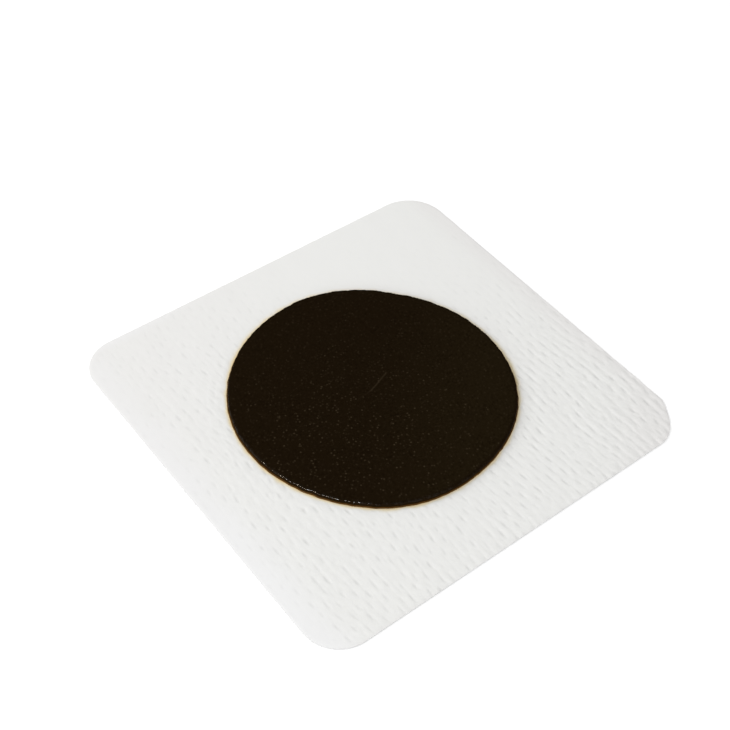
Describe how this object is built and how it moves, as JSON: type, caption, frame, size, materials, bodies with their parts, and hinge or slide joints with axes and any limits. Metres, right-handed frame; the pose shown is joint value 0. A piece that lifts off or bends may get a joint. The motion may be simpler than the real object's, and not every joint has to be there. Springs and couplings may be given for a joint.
{
  "type": "transdermal patch",
  "caption": "Medicated skin patch: a dark cast plaster disc on the adhesive face of a nearly square nonwoven cloth sheet with rounded corners.",
  "frame": {"origin": "middle of the cloth's outer face, which lies on the surface below", "axes": "+X along the sheet's longer side, across the roll of cloth; +Y along its shorter side, the way the bond marks run; +Z out of the adhesive face, towards the skin"},
  "size_m": [0.07, 0.0676, 0.0011],
  "materials": {
    "nonwoven_cloth": "matte embossed nonwoven, white, with a clear adhesive coat on the upper face",
    "dark_plaster": "near-black brown cast plaster, satin, glossier on its rounded edge"
  },
  "bodies": {
    "root": {"nonwoven_backing": "nonwoven_cloth", "plaster_disc": "dark_plaster"}
  },
  "joints": []
}
